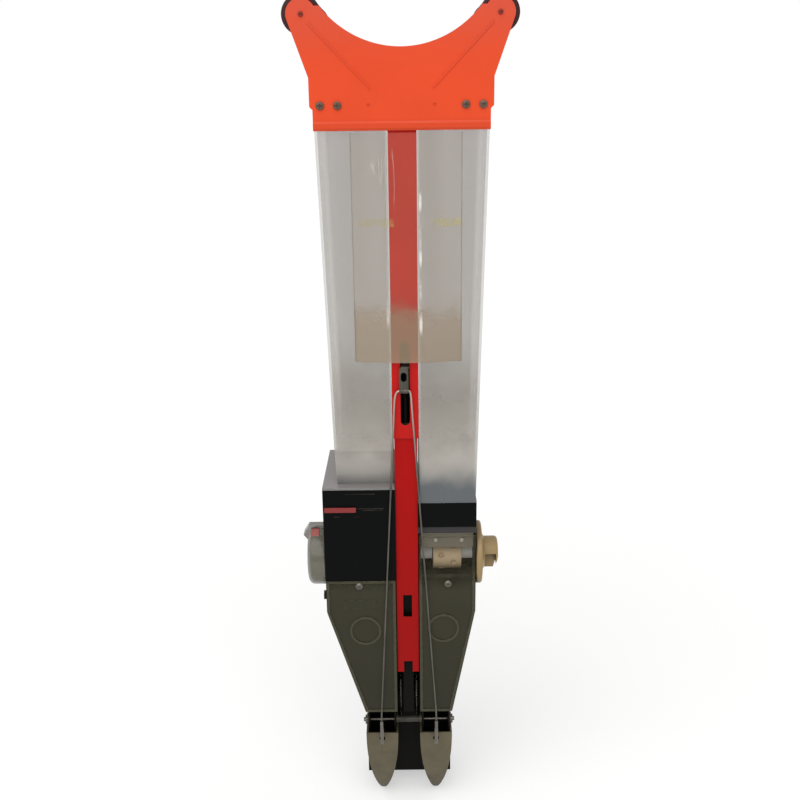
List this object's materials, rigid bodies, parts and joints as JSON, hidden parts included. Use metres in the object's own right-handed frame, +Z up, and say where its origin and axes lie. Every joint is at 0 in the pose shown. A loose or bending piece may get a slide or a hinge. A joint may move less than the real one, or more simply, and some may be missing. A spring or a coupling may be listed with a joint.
{
  "type": "hand seed planter",
  "caption": "Hand jab planter with twin clear hoppers on a red spine, metering rollers, spring-closed duckbill jaws and a foot plate that works them.",
  "frame": {"origin": "on the ground under the middle of the tool, at the jaw tips' height", "axes": "+Z up the spine, -Y the front with the covers and film, +X the seed side"},
  "size_m": [0.2328, 0.1369, 0.9265],
  "materials": {
    "orange_plastic": "semi-gloss moulded",
    "grip_rubber": "matt",
    "bar_wood": "plain turned",
    "zinc_steel": "zinc plated",
    "clear_plastic": "clear, slightly clouded",
    "label_film": "clear film",
    "red_paint": "gloss enamel",
    "black_plastic": "fine grain",
    "smoky_plastic": "smoky, see-through",
    "red_plastic": "moulded",
    "white_nylon": "moulded",
    "cream_plastic": "moulded",
    "yellow_plastic": "moulded",
    "grey_plastic": "see-through grey",
    "black_steel": "satin paint",
    "funnel_plastic": "moulded",
    "bare_steel": "dull, slightly oiled",
    "spring_steel": "drawn wire"
  },
  "bodies": {
    "frame": {"yoke_front": "orange_plastic", "yoke_rear": "orange_plastic", "left_handle_bar": "bar_wood", "right_handle_bar": "bar_wood", "left_grip": "grip_rubber", "right_grip": "grip_rubber", "handle_screws": "black_steel", "yoke_screws": "black_steel", "yoke_nuts": "zinc_steel", "left_hopper": "clear_plastic", "right_hopper": "clear_plastic", "lid_bridge": "black_plastic", "lid_pins": "zinc_steel", "bridge_screws": "zinc_steel", "label_film": "label_film", "spine_sleeve": "red_paint", "spine_tube": "red_paint", "spine_screws": "zinc_steel", "spine_rivets": "red_paint", "lower_guide": "black_plastic", "upper_guide": "black_plastic", "left_housing": "black_plastic", "right_housing": "black_plastic", "left_panel": "black_plastic", "left_cover": "smoky_plastic", "right_cover": "smoky_plastic", "cover_screws": "zinc_steel", "housing_bolts": "black_steel", "housing_nuts": "black_steel", "seed_funnel": "funnel_plastic", "fert_funnel": "funnel_plastic", "shaft_bushes": "white_nylon", "left_holder": "black_steel", "right_holder": "black_steel", "holder_rivets": "black_steel", "hinge_rod": "zinc_steel", "rod_spacer": "black_steel", "rod_clips": "zinc_steel", "left_jaw_spring": "spring_steel", "right_jaw_spring": "spring_steel", "return_spring": "spring_steel"},
    "plunger": {"push_rod": "black_steel", "foot_plate": "black_steel", "foot_screws": "zinc_steel", "wire_lug": "zinc_steel", "lug_nut": "zinc_steel", "pull_wire": "spring_steel", "pull_links": "zinc_steel"},
    "metering": {"metering_shaft": "zinc_steel", "drive_pinion": "white_nylon", "seed_roller": "cream_plastic", "fert_roller": "cream_plastic"},
    "seed_rate_knob": {"seed_knob": "yellow_plastic"},
    "fertiliser_rate_dial": {"fert_dial": "grey_plastic", "dial_pointer": "red_plastic"},
    "left_jaw_body": {"left_jaw": "bare_steel"},
    "right_jaw_body": {"right_jaw": "bare_steel"},
    "gate": {"feed_gate": "red_plastic"},
    "left_hopper_lid": {"left_lid": "black_plastic"},
    "right_hopper_lid": {"right_lid": "black_plastic"}
  },
  "joints": [
    {"name": "plunger_slide", "type": "slide", "parent": "frame", "child": "plunger", "axis": [0, 0, 1], "range_m": [0, 0.014], "stiffness_N_per_m": 900, "springref_m": -0.03, "deforming": ["return_spring"]},
    {"name": "metering_spin", "type": "hinge", "parent": "frame", "child": "metering", "pos_m": [0, -0.029, 0.326], "axis": [-1, 0, 0], "range_deg": [0, 59.6]},
    {"name": "left_jaw_swing", "type": "hinge", "parent": "frame", "child": "left_jaw_body", "pos_m": [-0.0323, -0.0289, 0.101], "axis": [-1, 0, 0], "range_deg": [0, 28.1], "deforming": ["left_jaw_spring"]},
    {"name": "right_jaw_swing", "type": "hinge", "parent": "frame", "child": "right_jaw_body", "pos_m": [0.0323, -0.0289, 0.101], "axis": [-1, 0, 0], "range_deg": [0, 28.1], "deforming": ["right_jaw_spring"]},
    {"name": "seed_knob_turn", "type": "hinge", "parent": "metering", "child": "seed_rate_knob", "pos_m": [0.0784, -0.029, 0.326], "axis": [1, 0, 0], "range_deg": [0, 270]},
    {"name": "fertiliser_dial_turn", "type": "hinge", "parent": "metering", "child": "fertiliser_rate_dial", "pos_m": [-0.0934, -0.029, 0.326], "axis": [-1, 0, 0], "range_deg": [0, 270]},
    {"name": "feed_gate_slide", "type": "slide", "parent": "frame", "child": "gate", "axis": [1, 0, 0], "range_m": [0, 0.03]},
    {"name": "left_lid_hinge", "type": "hinge", "parent": "frame", "child": "left_hopper_lid", "pos_m": [-0.0095, 0, 0.849], "axis": [0, 1, 0], "range_deg": [0, 95]},
    {"name": "right_lid_hinge", "type": "hinge", "parent": "frame", "child": "right_hopper_lid", "pos_m": [0.0095, 0, 0.849], "axis": [0, -1, 0], "range_deg": [0, 95]}
  ],
  "couplings": [
    {"joint": "metering_spin", "follows": "plunger_slide", "rad_per_m": 74.074},
    {"joint": "left_jaw_swing", "follows": "plunger_slide", "rad_per_m": 34.907},
    {"joint": "right_jaw_swing", "follows": "plunger_slide", "rad_per_m": 34.907}
  ]
}
